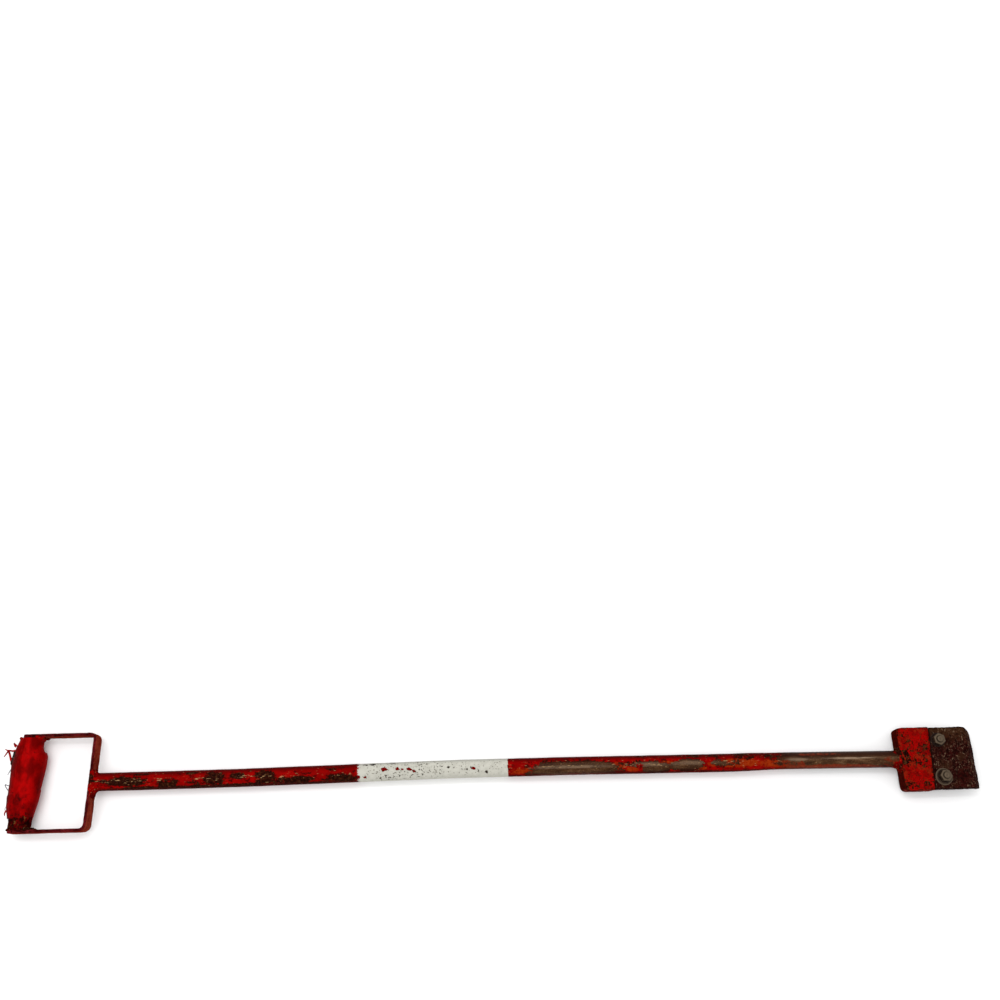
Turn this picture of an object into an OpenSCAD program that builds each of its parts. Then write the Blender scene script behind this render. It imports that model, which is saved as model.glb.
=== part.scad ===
// Long-handled pry bar with a D-shaped handle and a bolted-on blade.
// Millimetres. The bar lies flat on the ground as it is stored:
// +X runs from the handle to the blade, +Y to the far side, +Z up.
// The origin is the middle of the bar's outline, on the ground.

/* [Overall] */
// Length over everything, frayed ends to blade edge
overall_l = 1226; // [1000:1:1500]

/* [Shaft] */
// Outside diameter of the shaft tube
tube_d = 22.2; // [21.5:0.1:25]
// Bore of the shaft tube
tube_bore = 17; // [14:0.1:18]
// How far the shaft meets the head to the far side of its middle
head_offset = 1.2; // [0:0.1:4]

/* [Shank] */
// Diameter of the solid shank behind the head
shank_d = 20.6; // [19:0.1:20.6]
// Length of the shank outside the tube
shank_l = 160; // [80:1:220]
// Length of the shank's spigot inside the tube
spigot_l = 45; // [20:1:80]
// Diameter of the spigot
spigot_d = 16.8; // [12:0.1:17]
// Width of the welded groove between tube and shank
joint_gap = 8; // [3:0.5:12]

/* [Head block] */
// Width of the block
block_w = 76.8; // [70:0.1:90]
// Thickness of the block
block_h = 20.8; // [18:0.1:26]
// Length of the block at its middle
block_l = 38.5; // [30:0.5:60]
// Radius of the block's two rear corners
block_corner_r = 6; // [1:0.5:12]
// Angle of the seam between block and blade
seam_skew = 3.6; // [0:0.1:6]
// Width of the tongue under the blade
tongue_w = 64; // [62:1:70]
// Length of the tongue in front of the seam
tongue_l = 27; // [22:0.5:34]
// Step up from the block's underside to the tongue's
tongue_relief = 1; // [0.5:0.1:3]

/* [Blade] */
// Width of the blade
blade_w = 75.4; // [68:0.1:88]
// Thickness of the blade
blade_t = 10; // [6:0.5:12]
// Length of the blade at its middle
blade_l = 55; // [45:0.5:90]
// Length of the ground bevel on its top
bevel_l = 7; // [3:0.5:12]
// Thickness left at the blunt edge
edge_t = 4.5; // [1:0.1:6]
// Radius of the worn far corner
far_corner_r = 12; // [2:0.5:16]

/* [Bolts] */
// Bolt diameter
bolt_d = 7.94; // [6:0.01:8.2]
// Bolt length under the head
bolt_l = 31.75; // [31:0.05:36]
// Clearance holes in tongue and blade
bolt_hole_d = 8.7; // [8.5:0.1:10]
// Distance between the two bolts
bolt_spacing = 44; // [38:0.5:46]
// Distance from the seam's middle to the bolts
bolt_setback = 11.2; // [11:0.1:14]
// Hexagon size across flats
hex_af = 12.7; // [11:0.1:14]
// Height of the bolt head
bolt_head_h = 5.3; // [4:0.1:7]
// Height of the nut
nut_h = 6.75; // [5:0.05:8]
// Plain washer: outside diameter
washer_d = 17.5; // [15:0.1:18]
// Plain washer: hole
washer_bore = 8.7; // [8.5:0.1:10]
// Washer thickness
washer_t = 1.6; // [1:0.1:2.5]
// Larger washer under the near nut: outside diameter
big_washer_d = 20.6; // [18:0.1:22]
// Larger washer under the near nut: hole
big_washer_bore = 10.3; // [10:0.1:12]
// How far the larger washer has slipped off centre
big_washer_slip = 1.1; // [0:0.1:1.1]
// Direction of that slip, counted from +X
big_washer_slip_angle = 231; // [0:1:360]

/* [Yoke] */
// Width of the yoke over its arms
yoke_w = 120; // [100:1:150]
// Height of the flat bar, which stands on edge
strap_h = 19; // [16:0.5:24]
// Thickness of the flat bar
strap_t = 4; // [3:0.5:6]
// Outside radius of its two bends
strap_bend_r = 9; // [6:0.5:16]
// Length of the near arm
near_arm_l = 96.7; // [94:0.1:130]
// Length of the far arm
far_arm_l = 93.5; // [90:0.5:130]

/* [Grip] */
// Distance from the yoke's back to the grip's centre
grip_setback = 86.3; // [80:0.1:90]
// Outside diameter of the grip pipe
pipe_d = 26.7; // [24:0.1:28]
// Bore of the grip pipe
pipe_bore = 19; // [14:0.1:20]
// Width of the wrapped grip
wrap_w = 40; // [36:0.5:44]
// Thickness of the tape layer
tape_t = 1.5; // [0.5:0.1:2]
// Near end of the wrap, from the middle
wrap_near = 43; // [35:0.5:48]
// Far end of the wrap, from the middle
wrap_far = 52; // [40:0.5:52]
// How far the longest frayed end reaches past the wrap
fray_reach = 13; // [6:0.5:20]

/* [Welds] */
// Leg of the fillet between shaft and yoke
yoke_fillet = 7; // [3:0.5:9]
// Leg of the fillet between shank and head
head_fillet = 6; // [3:0.5:9]
// Leg of the fillets at the grip pipe's ends
grip_fillet = 3.5; // [2:0.5:3.5]
// Radius of the beads that run over the top edges
bead_r = 3; // [2:0.5:4]
// Half length of those beads
bead_half = 11; // [8:0.5:14]
// How far the weld at the head stays inside the block's top, bottom and bead ends
head_weld_inset = 1; // [0.5:0.1:2]

/* [Hidden] */

$fn = 96;
small_fn = 48;
// How far a rod or an arm is first drawn past the face that trims it
margin = 5;
// How far a cut reaches past the faces it goes through
past = 1;
// Side of the blocks that trim pieces
trim = 100;
// Height of a fillet's thin edge, twice over
weld_toe = 0.6;

// Heights: the bolt heads under the tongue and the wrapped grip touch the ground.
axis_z = bolt_head_h + washer_t - tongue_relief + block_h / 2;
block_bottom = axis_z - block_h / 2;
block_top = axis_z + block_h / 2;
tongue_bottom = block_bottom + tongue_relief;
blade_bottom = block_top - blade_t;
wrap_h = 2 * axis_z;

// Stations along X
x_edge = overall_l / 2;
x_seam = x_edge - blade_l;
x_heel = x_seam - block_l;
wrap_left = -overall_l / 2 + fray_reach;
grip_x = wrap_left + wrap_w / 2;
x_back = grip_x + grip_setback;
bolt_x = x_seam + bolt_setback;

// The shaft runs straight from the yoke's middle to a point beside the head's middle.
back_point = [x_back, 0];
heel_point = [x_heel, head_offset];
shaft_angle = atan2(head_offset, x_heel - x_back);
joint_at = norm(heel_point - back_point) - shank_l;

// Frayed ends as [distance past the wrap, position along Y] from root to tip
tape_strand_paths = [
    [[-3, 41], [5, 40.5], [12.5, 43]],
    [[-3, 22], [0.5, 27], [7, 40], [12, 33]],
    [[-3, 47], [1, 49.5], [2.5, 51]]
];
padding_thread_paths = [
    [[-3, 22], [0, 18], [4, 11.5]],
    [[-3, -2], [6, -1], [0, -8], [-3, -9]]
];
tape_strand_size = [2, 1];
padding_thread_size = [0.8, 0.8];

// Where the seam between block and blade runs at a given y
function seam_x(y) = x_seam + y * tan(seam_skew);

// ---- helpers ----

// Children's +Z points to the head along the shaft, from so far past the yoke's back
module along_shaft(distance) {
    translate([x_back, 0, axis_z]) rotate([0, 0, shaft_angle]) rotate([0, 90, 0])
        translate([0, 0, distance]) children();
}

// A rod along the shaft between two distances from the yoke's back
module shaft_rod(d, from, to) {
    along_shaft(from) cylinder(d = d, h = to - from);
}

// Everything from a station along X onwards, or up to it
module beyond(x) {
    translate([x, -trim / 2, axis_z - trim / 2]) cube(trim);
}

module before(x) {
    beyond(x - trim);
}

// A level slab between two stations along X, standing on a height
module slab(from, to, bottom, height) {
    translate([from, -trim / 2, bottom]) cube([to - from, trim, height]);
}

module washer(d, bore) {
    difference() {
        cylinder(d = d, h = washer_t, $fn = small_fn);
        translate([0, 0, -past]) cylinder(d = bore, h = washer_t + 2 * past, $fn = small_fn);
    }
}

module hexagon(h) {
    rotate([0, 0, 30]) cylinder(d = hex_af / cos(30), h = h, $fn = 6);
}

module bolt() {
    hexagon(bolt_head_h);
    cylinder(d = bolt_d, h = bolt_head_h + bolt_l, $fn = small_fn);
}

module nut() {
    difference() {
        hexagon(nut_h);
        translate([0, 0, -past]) cylinder(d = bolt_d, h = nut_h + 2 * past, $fn = small_fn);
    }
}

// side is +1 for the far bolt and -1 for the near one
module at_bolt(side, z) {
    translate([bolt_x, side * bolt_spacing / 2, z]) children();
}

module bolt_holes() {
    for (side = [-1, 1]) at_bolt(side, 0) cylinder(d = bolt_hole_d, h = 2 * axis_z, $fn = small_fn);
}

// What rounding takes off a square corner whose point is at the origin, up and to the right
module corner_cut(r) {
    translate([-r, -r]) difference() {
        square(r + past);
        circle(r = r);
    }
}

// Outline with a width and a height and half-round ends
module oval(w, h) {
    square([w - h, h], center = true);
    for (side = [-1, 1]) translate([side * (w - h) / 2, 0]) circle(d = h);
}

module grip_oval(inset) {
    translate([grip_x, wrap_far, axis_z]) rotate([90, 0, 0])
        linear_extrude(wrap_far + wrap_near) oval(wrap_w - 2 * inset, wrap_h - 2 * inset);
}

module grip_cylinder(d, length) {
    translate([grip_x, 0, axis_z]) rotate([90, 0, 0]) cylinder(d = d, h = length, center = true);
}

// A flat strip of tape or thread that follows a path beside the wrap
module strand(path, size) {
    for (i = [0 : len(path) - 2]) {
        step = path[i + 1] - path[i];
        translate([wrap_left - path[i].x, path[i].y, axis_z])
            rotate([0, 0, atan2(step.y, -step.x)])
            translate([0, -size.x / 2, -size.y / 2])
            cube([norm(step), size.x, size.y]);
    }
}

// The yoke's U outline, set in from its outer faces
module yoke_fill(inset) {
    r = strap_bend_r - inset;
    half = yoke_w / 2 - inset;
    right = x_back - inset;
    left = x_back - near_arm_l - margin;
    translate([left, -half]) square([right - r - left, 2 * half]);
    translate([left, r - half]) square([right - left, 2 * (half - r)]);
    for (side = [-1, 1]) translate([right - r, side * (half - r)]) circle(r = r);
}

// Cuts one arm to its length: side is +1 for the far arm
module arm_trim(side, length) {
    translate([x_back - length - trim, side > 0 ? 0 : -yoke_w]) square([trim, yoke_w]);
}

// ---- shaft ----

module shaft_tube() {
    tube_end = joint_at - joint_gap;
    color("firebrick") difference() {
        shaft_rod(tube_d, -margin, tube_end);
        shaft_rod(tube_bore, -2 * margin, tube_end + margin);
        before(x_back);
    }
}

module head_shank() {
    color("saddlebrown") difference() {
        union() {
            shaft_rod(shank_d, joint_at, joint_at + shank_l + margin);
            shaft_rod(spigot_d, joint_at - joint_gap - spigot_l, joint_at + margin);
        }
        beyond(x_heel);
    }
}

module shank_weld() {
    color("brown") along_shaft(joint_at) rotate_extrude() polygon([
        [spigot_d / 2, -joint_gap],
        [tube_d / 2, -joint_gap],
        [tube_d / 2, -joint_gap / 2],
        [shank_d / 2, 0],
        [spigot_d / 2, 0]
    ]);
}

// ---- head ----

module block_outline() {
    half = block_w / 2;
    difference() {
        polygon([[x_heel, -half], [seam_x(-half), -half], [seam_x(half), half], [x_heel, half]]);
        translate([x_heel, half]) mirror([1, 0]) corner_cut(block_corner_r);
        translate([x_heel, -half]) rotate([0, 0, 180]) corner_cut(block_corner_r);
    }
}

module tongue_outline() {
    half = tongue_w / 2;
    translate([x_heel + block_l / 2, -half]) square([block_l / 2 + tongue_l, tongue_w]);
}

module head_block() {
    color("red") difference() {
        union() {
            translate([0, 0, block_bottom]) linear_extrude(block_h) block_outline();
            translate([0, 0, tongue_bottom]) linear_extrude(blade_bottom - tongue_bottom)
                tongue_outline();
        }
        bolt_holes();
    }
}

module head_weld() {
    color("darkred") difference() {
        union() {
            intersection() {
                translate([x_heel - head_fillet, head_offset, axis_z]) rotate([0, 90, 0])
                    cylinder(d1 = shank_d + weld_toe, d2 = shank_d + 2 * head_fillet, h = head_fillet);
                slab(x_heel - head_fillet, x_heel, block_bottom + head_weld_inset,
                    block_h - 2 * head_weld_inset);
            }
            translate([x_heel, head_offset, block_top]) rotate([90, 0, 0])
                cylinder(r = bead_r, h = 2 * (bead_half - head_weld_inset), center = true,
                    $fn = small_fn);
        }
        shaft_rod(shank_d, joint_at, joint_at + shank_l + margin);
        slab(x_heel, x_seam, block_bottom, block_h);
    }
}

module blade_outline() {
    half = blade_w / 2;
    difference() {
        polygon([[seam_x(-half), -half], [x_edge, -half], [x_edge, half], [seam_x(half), half]]);
        translate([x_edge, half]) corner_cut(far_corner_r);
    }
}

module blade() {
    color("#3a1a14") difference() {
        translate([0, 0, blade_bottom]) linear_extrude(blade_t) blade_outline();
        bolt_holes();
        translate([0, blade_w / 2 + past, 0]) rotate([90, 0, 0]) linear_extrude(blade_w + 2 * past)
            polygon([
                [x_edge - bevel_l, block_top],
                [x_edge, blade_bottom + edge_t],
                [x_edge + past, blade_bottom + edge_t],
                [x_edge + past, block_top + past],
                [x_edge - bevel_l, block_top + past]
            ]);
    }
}

module blade_bolt_far() color("dimgray") at_bolt(1, 0) bolt();
module blade_bolt_near() color("dimgray") at_bolt(-1, 0) bolt();

module bolt_washer_far() color("gray") at_bolt(1, bolt_head_h) washer(washer_d, washer_bore);
module bolt_washer_near() color("gray") at_bolt(-1, bolt_head_h) washer(washer_d, washer_bore);

module nut_washer_far() color("gray") at_bolt(1, block_top) washer(washer_d, washer_bore);

module nut_washer_near() {
    slip = big_washer_slip * [cos(big_washer_slip_angle), sin(big_washer_slip_angle), 0];
    color("gray") at_bolt(-1, block_top) translate(slip) washer(big_washer_d, big_washer_bore);
}

module blade_nut_far() color("darkgray") at_bolt(1, block_top + washer_t) nut();
module blade_nut_near() color("darkgray") at_bolt(-1, block_top + washer_t) rotate([0, 0, 12]) nut();

// ---- handle ----

module yoke_strap() {
    color("brown") translate([0, 0, axis_z - strap_h / 2]) linear_extrude(strap_h) difference() {
        yoke_fill(0);
        yoke_fill(strap_t);
        arm_trim(1, far_arm_l);
        arm_trim(-1, near_arm_l);
    }
}

module yoke_weld() {
    color("red") difference() {
        union() {
            intersection() {
                translate([x_back, 0, axis_z]) rotate([0, 90, 0])
                    cylinder(d1 = tube_d + 2 * yoke_fillet, d2 = tube_d + weld_toe, h = yoke_fillet);
                slab(x_back, x_back + yoke_fillet, axis_z - strap_h / 2, strap_h);
            }
            for (side = [-1, 1])
                translate([x_back - strap_t / 2, 0, axis_z + side * strap_h / 2])
                rotate([90, 0, 0])
                cylinder(r = bead_r, h = 2 * bead_half, center = true, $fn = small_fn);
        }
        shaft_rod(tube_d, 0, yoke_fillet + margin);
        slab(x_back - strap_bend_r, x_back, axis_z - strap_h / 2, strap_h);
    }
}

module grip_pipe() {
    inside_w = yoke_w - 2 * strap_t;
    color("maroon") difference() {
        grip_cylinder(pipe_d, inside_w);
        grip_cylinder(pipe_bore, inside_w + 2 * past);
    }
}

// side is +1 at the far arm; the arm ends at arm_l from the yoke's back
module grip_weld(side, arm_l) {
    inner = yoke_w / 2 - strap_t;
    color("maroon") difference() {
        intersection() {
            translate([grip_x, side * inner, axis_z]) rotate([side * 90, 0, 0])
                cylinder(d1 = pipe_d + 2 * grip_fillet, d2 = pipe_d, h = grip_fillet);
            translate([x_back - arm_l, -yoke_w, axis_z - strap_h / 2])
                cube([arm_l, 2 * yoke_w, strap_h]);
        }
        grip_cylinder(pipe_d, yoke_w);
    }
}

module grip_weld_far() grip_weld(1, far_arm_l);
module grip_weld_near() grip_weld(-1, near_arm_l);

module grip_padding() {
    color("dimgray") difference() {
        grip_oval(tape_t);
        grip_cylinder(pipe_d, yoke_w);
    }
}

module grip_tape() {
    color("red") difference() {
        grip_oval(0);
        translate([0, margin, 0]) grip_oval(tape_t);
        translate([0, -margin, 0]) grip_oval(tape_t);
    }
}

module tape_strands() {
    color("crimson") difference() {
        for (path = tape_strand_paths) strand(path, tape_strand_size);
        grip_oval(0);
    }
}

module padding_threads() {
    color("silver") difference() {
        for (path = padding_thread_paths) strand(path, padding_thread_size);
        grip_oval(0);
    }
}

shaft_tube();
head_shank();
shank_weld();
head_block();
head_weld();
blade();
blade_bolt_far();
blade_bolt_near();
bolt_washer_far();
bolt_washer_near();
nut_washer_far();
nut_washer_near();
blade_nut_far();
blade_nut_near();
yoke_strap();
yoke_weld();
grip_pipe();
grip_weld_far();
grip_weld_near();
grip_padding();
grip_tape();
tape_strands();
padding_threads();
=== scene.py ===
"""Looks of the long-handled pry bar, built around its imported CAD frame. Metres, +X from handle to blade."""

import math

import bmesh
import bpy
import numpy as np
from mathutils import Matrix, Vector


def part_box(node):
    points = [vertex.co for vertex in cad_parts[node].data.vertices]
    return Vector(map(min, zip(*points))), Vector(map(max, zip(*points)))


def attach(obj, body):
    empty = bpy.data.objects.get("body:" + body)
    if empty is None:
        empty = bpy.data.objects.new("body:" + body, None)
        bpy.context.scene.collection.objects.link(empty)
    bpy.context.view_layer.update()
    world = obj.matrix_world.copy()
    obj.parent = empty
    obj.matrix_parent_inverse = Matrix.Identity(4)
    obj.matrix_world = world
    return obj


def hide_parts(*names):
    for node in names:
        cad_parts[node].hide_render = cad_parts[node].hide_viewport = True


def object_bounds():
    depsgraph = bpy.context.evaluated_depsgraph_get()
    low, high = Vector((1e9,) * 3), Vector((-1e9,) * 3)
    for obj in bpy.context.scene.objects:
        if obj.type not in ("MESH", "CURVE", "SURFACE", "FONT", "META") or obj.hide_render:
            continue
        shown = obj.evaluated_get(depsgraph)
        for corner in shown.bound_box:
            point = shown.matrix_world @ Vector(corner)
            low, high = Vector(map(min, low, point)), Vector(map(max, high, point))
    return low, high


MM = 0.001
BODY = "root"
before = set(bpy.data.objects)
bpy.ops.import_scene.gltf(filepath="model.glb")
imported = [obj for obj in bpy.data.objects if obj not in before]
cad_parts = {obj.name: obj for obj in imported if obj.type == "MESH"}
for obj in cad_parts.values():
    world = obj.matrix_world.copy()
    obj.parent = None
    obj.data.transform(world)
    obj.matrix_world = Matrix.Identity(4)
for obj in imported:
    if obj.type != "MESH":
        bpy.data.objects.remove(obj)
cad_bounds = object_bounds()

# ---- stations read from the frame ----

TUBE_LOW, TUBE_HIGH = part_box("shaft_tube")
SHANK_LOW, SHANK_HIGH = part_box("head_shank")
BLOCK_LOW, BLOCK_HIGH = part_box("head_block")
STRAP_LOW, STRAP_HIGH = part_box("yoke_strap")
TAPE_LOW, TAPE_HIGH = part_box("grip_tape")
PIPE_LOW, PIPE_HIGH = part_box("grip_pipe")
JOINT_LOW, JOINT_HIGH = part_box("shank_weld")

AXIS_Z = (TAPE_LOW.z + TAPE_HIGH.z) / 2      # height of the shaft's axis
X_BACK = TUBE_LOW.x                          # where the tube meets the yoke
X_HEEL = SHANK_HIGH.x                        # where the shank meets the head block
TUBE_R = (TUBE_HIGH.z - TUBE_LOW.z) / 2
SHANK_R = (SHANK_HIGH.z - SHANK_LOW.z) / 2
HEEL_Y = SHANK_HIGH.y - SHANK_R
GRIP_X = (PIPE_LOW.x + PIPE_HIGH.x) / 2
PIPE_R = (PIPE_HIGH.z - PIPE_LOW.z) / 2
BLOCK_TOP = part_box("blade")[1].z
STRAP_HALF = (STRAP_HIGH.z - STRAP_LOW.z) / 2
TURN = 2 * math.pi


# ---- noise for shapes: smooth random fields, the same on every run ----

def lattice_value(ix, iy, iz, seed):
    """A fixed random number from -1 to 1 for each whole-number place."""
    h = (ix * 73856093) ^ (iy * 19349663) ^ (iz * 83492791) ^ (seed * 2654435761)
    h = (h ^ (h >> 13)) & 0xFFFFFFFF
    h = (h * 1274126177) & 0xFFFFFFFF
    h = (h ^ (h >> 16)) & 0xFFFFFFFF
    return h / 2147483647.5 - 1.0


def value_noise(points, size, seed):
    """Smooth noise from -1 to 1 whose lumps are about size across."""
    q = points / size
    cell = np.floor(q).astype(np.int64)
    t = q - cell
    t = t * t * t * (t * (6 * t - 15) + 10)
    total = np.zeros(len(points))
    for dx in (0, 1):
        for dy in (0, 1):
            for dz in (0, 1):
                weight = (
                    (t[:, 0] if dx else 1 - t[:, 0])
                    * (t[:, 1] if dy else 1 - t[:, 1])
                    * (t[:, 2] if dz else 1 - t[:, 2])
                )
                corner = lattice_value(cell[:, 0] + dx, cell[:, 1] + dy, cell[:, 2] + dz, seed)
                total += weight * corner
    return total


def fractal_noise(points, size, seed, octaves):
    """Smooth noise with ever smaller and weaker lumps added to it."""
    total = np.zeros(len(points))
    for octave in range(octaves):
        total += value_noise(points, size / 2 ** octave, seed + octave) / 2 ** octave
    return total


def smooth_step(value, low, high):
    """0 below low, 1 above high and smooth between them."""
    t = np.clip((value - low) / (high - low), 0, 1)
    return t * t * (3 - 2 * t)


# ---- mesh helpers ----

def coordinates(mesh):
    co = np.empty(len(mesh.vertices) * 3)
    mesh.vertices.foreach_get("co", co)
    return co.reshape(-1, 3)


def normals(mesh):
    no = np.empty(len(mesh.vertices) * 3)
    mesh.vertex_normals.foreach_get("vector", no)
    return no.reshape(-1, 3)


def set_coordinates(mesh, co):
    mesh.vertices.foreach_set("co", np.ascontiguousarray(co, dtype=np.float32).ravel())
    mesh.update()


def set_attribute(mesh, name, values):
    attribute = mesh.attributes.new(name, "FLOAT", "POINT")
    attribute.data.foreach_set("value", np.ascontiguousarray(values, dtype=np.float32))


def ring_faces(rings, segments, closed=True, turned=False):
    """Quads between rings of segments points each; the last ring joins the first if closed."""
    faces = []
    for i in range(rings if closed else rings - 1):
        for j in range(segments):
            k = (j + 1) % segments
            n = (i + 1) % rings
            face = (i * segments + j, n * segments + j, n * segments + k, i * segments + k)
            faces.append((face[0], face[3], face[2], face[1]) if turned else face)
    return faces


def new_object(name, data):
    thing = bpy.data.objects.new(name, data)
    bpy.context.scene.collection.objects.link(thing)
    return thing


def make_object(name, vertices, faces):
    mesh = bpy.data.meshes.new(name)
    mesh.from_pydata([tuple(v) for v in vertices], [], faces)
    mesh.update()
    mesh.shade_smooth()
    return new_object(name, mesh)


def finish_piece(piece, material, slot, *nodes):
    """Material, body and the CAD nodes that the piece stands for; slot is not used."""
    piece.data.materials.clear()
    piece.data.materials.append(material)
    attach(piece, BODY)
    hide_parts(*nodes)
    return piece


def neighbour_mean(mesh, values, rounds=1):
    """Averages values, one row per vertex, over each vertex's neighbours."""
    edges = np.empty(len(mesh.edges) * 2, dtype=np.int64)
    mesh.edges.foreach_get("vertices", edges)
    a, b = edges.reshape(-1, 2).T
    count = np.bincount(a, minlength=len(values)) + np.bincount(b, minlength=len(values))
    for _ in range(rounds):
        total = np.zeros_like(values)
        np.add.at(total, a, values[b])
        np.add.at(total, b, values[a])
        values = total / np.maximum(count, 1).reshape((-1,) + (1,) * (values.ndim - 1))
    return values


def edge_wear(mesh, reach):
    """0 on flats and hollows, up to 1 on outer edges and corners."""
    co = coordinates(mesh)
    lift = ((co - neighbour_mean(mesh, co, 2)) * normals(mesh)).sum(1)
    lift = neighbour_mean(mesh, lift, 1)
    return np.clip(lift / reach, 0, 1)


def apply_modifiers(piece):
    bpy.context.view_layer.update()
    evaluated = piece.evaluated_get(bpy.context.evaluated_depsgraph_get())
    mesh = bpy.data.meshes.new_from_object(evaluated)
    piece.modifiers.clear()
    old = piece.data
    piece.data = mesh
    bpy.data.meshes.remove(old)
    mesh.name = piece.name
    mesh.shade_smooth()


def remeshed(name, sources, voxel, smooth=2):
    """A new even-grained object with the joined shape of the source objects."""
    joined = bmesh.new()
    for source in sources:
        joined.from_mesh(source.data)
    mesh = bpy.data.meshes.new(name)
    joined.to_mesh(mesh)
    joined.free()
    piece = new_object(name, mesh)
    grid = piece.modifiers.new("grid", "REMESH")
    grid.mode = "VOXEL"
    grid.voxel_size = voxel
    apply_modifiers(piece)
    co = coordinates(piece.data)
    for _ in range(smooth):
        co = 0.5 * co + 0.5 * neighbour_mean(piece.data, co)
    set_coordinates(piece.data, co)
    return piece


def roughen(piece, lumps, seed, nick=0.0):
    """Moves the surface in and out: lumps is a list of (size, height); edges lose up to nick more."""
    mesh = piece.data
    co = coordinates(mesh)
    wear = edge_wear(mesh, 0.12 * MM)
    move = np.zeros(len(co))
    for number, (size, height) in enumerate(lumps):
        move += height * fractal_noise(co, size, seed + 10 * number, octaves=2)
    move -= nick * wear * np.clip(fractal_noise(co, 4 * MM, seed + 99, octaves=3) - 0.05, 0, 1)
    set_coordinates(mesh, co + normals(mesh) * move[:, None])
    set_attribute(mesh, "wear", wear)


def sit_on_floor(piece):
    """Keeps a resting surface from reaching under the ground."""
    co = coordinates(piece.data)
    co[:, 2] = np.maximum(co[:, 2], 0.0)
    set_coordinates(piece.data, co)


# ---- material helpers ----

class Shader:
    """Builds one procedural material. Noise sizes and bumps are in millimetres, colours are linear."""

    def __init__(self, name):
        self.material = bpy.data.materials.new(name)
        self.material.use_nodes = True
        self.tree = self.material.node_tree
        self.tree.nodes.clear()
        self.principled = self.node("ShaderNodeBsdfPrincipled")
        self.node("ShaderNodeOutputMaterial", {"Surface": self.principled.outputs[0]})
        self.place = self.node("ShaderNodeTexCoord").outputs["Object"]
        self.normal = self.node("ShaderNodeNewGeometry").outputs["Normal"]

    def node(self, kind, inputs=None, **settings):
        node = self.tree.nodes.new(kind)
        for name, value in settings.items():
            setattr(node, name, value)
        self.fill(node, inputs or {})
        return node

    def fill(self, node, inputs):
        """Links each input to another node's output, or sets it to a plain value."""
        for name, value in inputs.items():
            socket = node.inputs[name]
            if isinstance(value, bpy.types.NodeSocket):
                self.tree.links.new(value, socket)
            elif socket.type == "RGBA":
                socket.default_value = (*value, 1.0)
            else:
                socket.default_value = value

    def noise(self, size, detail=4, roughness=0.55, distortion=0.0, stretch=(1, 1, 1), seed=0):
        shift = (seed * 3.7, seed * 1.3, seed * 2.1)
        place = self.node("ShaderNodeMapping", {"Vector": self.place, "Location": shift, "Scale": stretch})
        inputs = {"Vector": place.outputs[0], "Scale": 1 / (size * MM), "Detail": detail}
        inputs.update({"Roughness": roughness, "Distortion": distortion})
        return self.node("ShaderNodeTexNoise", inputs).outputs["Fac"]

    def cells(self, size):
        inputs = {"Vector": self.place, "Scale": 1 / (size * MM)}
        return self.node("ShaderNodeTexVoronoi", inputs).outputs["Distance"]

    def attribute(self, name):
        return self.node("ShaderNodeAttribute", attribute_name=name).outputs["Fac"]

    def axis(self, vector, name):
        return self.node("ShaderNodeSeparateXYZ", {0: vector}).outputs[name]

    def math(self, operation, a, b, clamp=False):
        return self.node("ShaderNodeMath", {0: a, 1: b}, operation=operation, use_clamp=clamp).outputs[0]

    def times(self, a, b):
        return self.math("MULTIPLY", a, b)

    def plus(self, a, b):
        return self.math("ADD", a, b)

    def minus(self, a, b):
        return self.math("SUBTRACT", a, b)

    def larger(self, a, b):
        return self.math("MAXIMUM", a, b)

    def ramp(self, value, low, high):
        """0 below low, 1 above high; low above high turns it round."""
        turned = float(low > high)
        inputs = {"Value": value, "From Min": min(low, high), "From Max": max(low, high)}
        inputs.update({"To Min": turned, "To Max": 1.0 - turned})
        return self.node("ShaderNodeMapRange", inputs, interpolation_type="SMOOTHSTEP").outputs["Result"]

    def patches(self, size, low, high, **kind):
        """Random patches about size across: 0 where the noise is below low, 1 where it is above high."""
        return self.ramp(self.noise(size, **kind), low, high)

    def fine_patches(self, size, seed):
        return self.patches(size, 0.30, 0.70, detail=5, roughness=0.6, seed=seed)

    def mix(self, amount, a, b):
        inputs = {"Factor": amount, 6: a, 7: b}
        return self.node("ShaderNodeMix", inputs, data_type="RGBA").outputs[2]

    def bump(self, height, distance):
        return self.node("ShaderNodeBump", {"Height": height, "Distance": distance * MM}).outputs[0]

    def finish(self, color, roughness, normal, metallic=0.0, specular=0.5):
        inputs = {"Base Color": color, "Roughness": roughness, "Normal": normal}
        inputs.update({"Metallic": metallic, "Specular IOR Level": specular})
        self.fill(self.principled, inputs)
        return self.material


# ---- colours ----

STUDIO_GAIN = 1.38           # how much brighter than its own colour the studio shows a level surface


def srgb(red, green, blue):
    """The linear base colour that looks like these everyday 0 to 255 values in this studio."""
    def linear(value):
        value /= 255
        return value / 12.92 if value <= 0.04045 else ((value + 0.055) / 1.055) ** 2.4
    return tuple(linear(value) / STUDIO_GAIN for value in (red, green, blue))


RED = srgb(126, 3, 2)
RED_BRIGHT = srgb(158, 5, 3)
RED_DARK = srgb(84, 3, 3)
ORANGE = srgb(138, 27, 4)
ORANGE_PALE = srgb(164, 56, 14)
BROWN = srgb(75, 45, 23)
BROWN_PALE = srgb(104, 73, 49)
RUST_DARK = srgb(48, 14, 7)
BLACK = srgb(26, 8, 5)
GLINT = srgb(190, 150, 104)
WHITE = srgb(213, 211, 199)


# ---- camera, lights and floor ----

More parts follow.
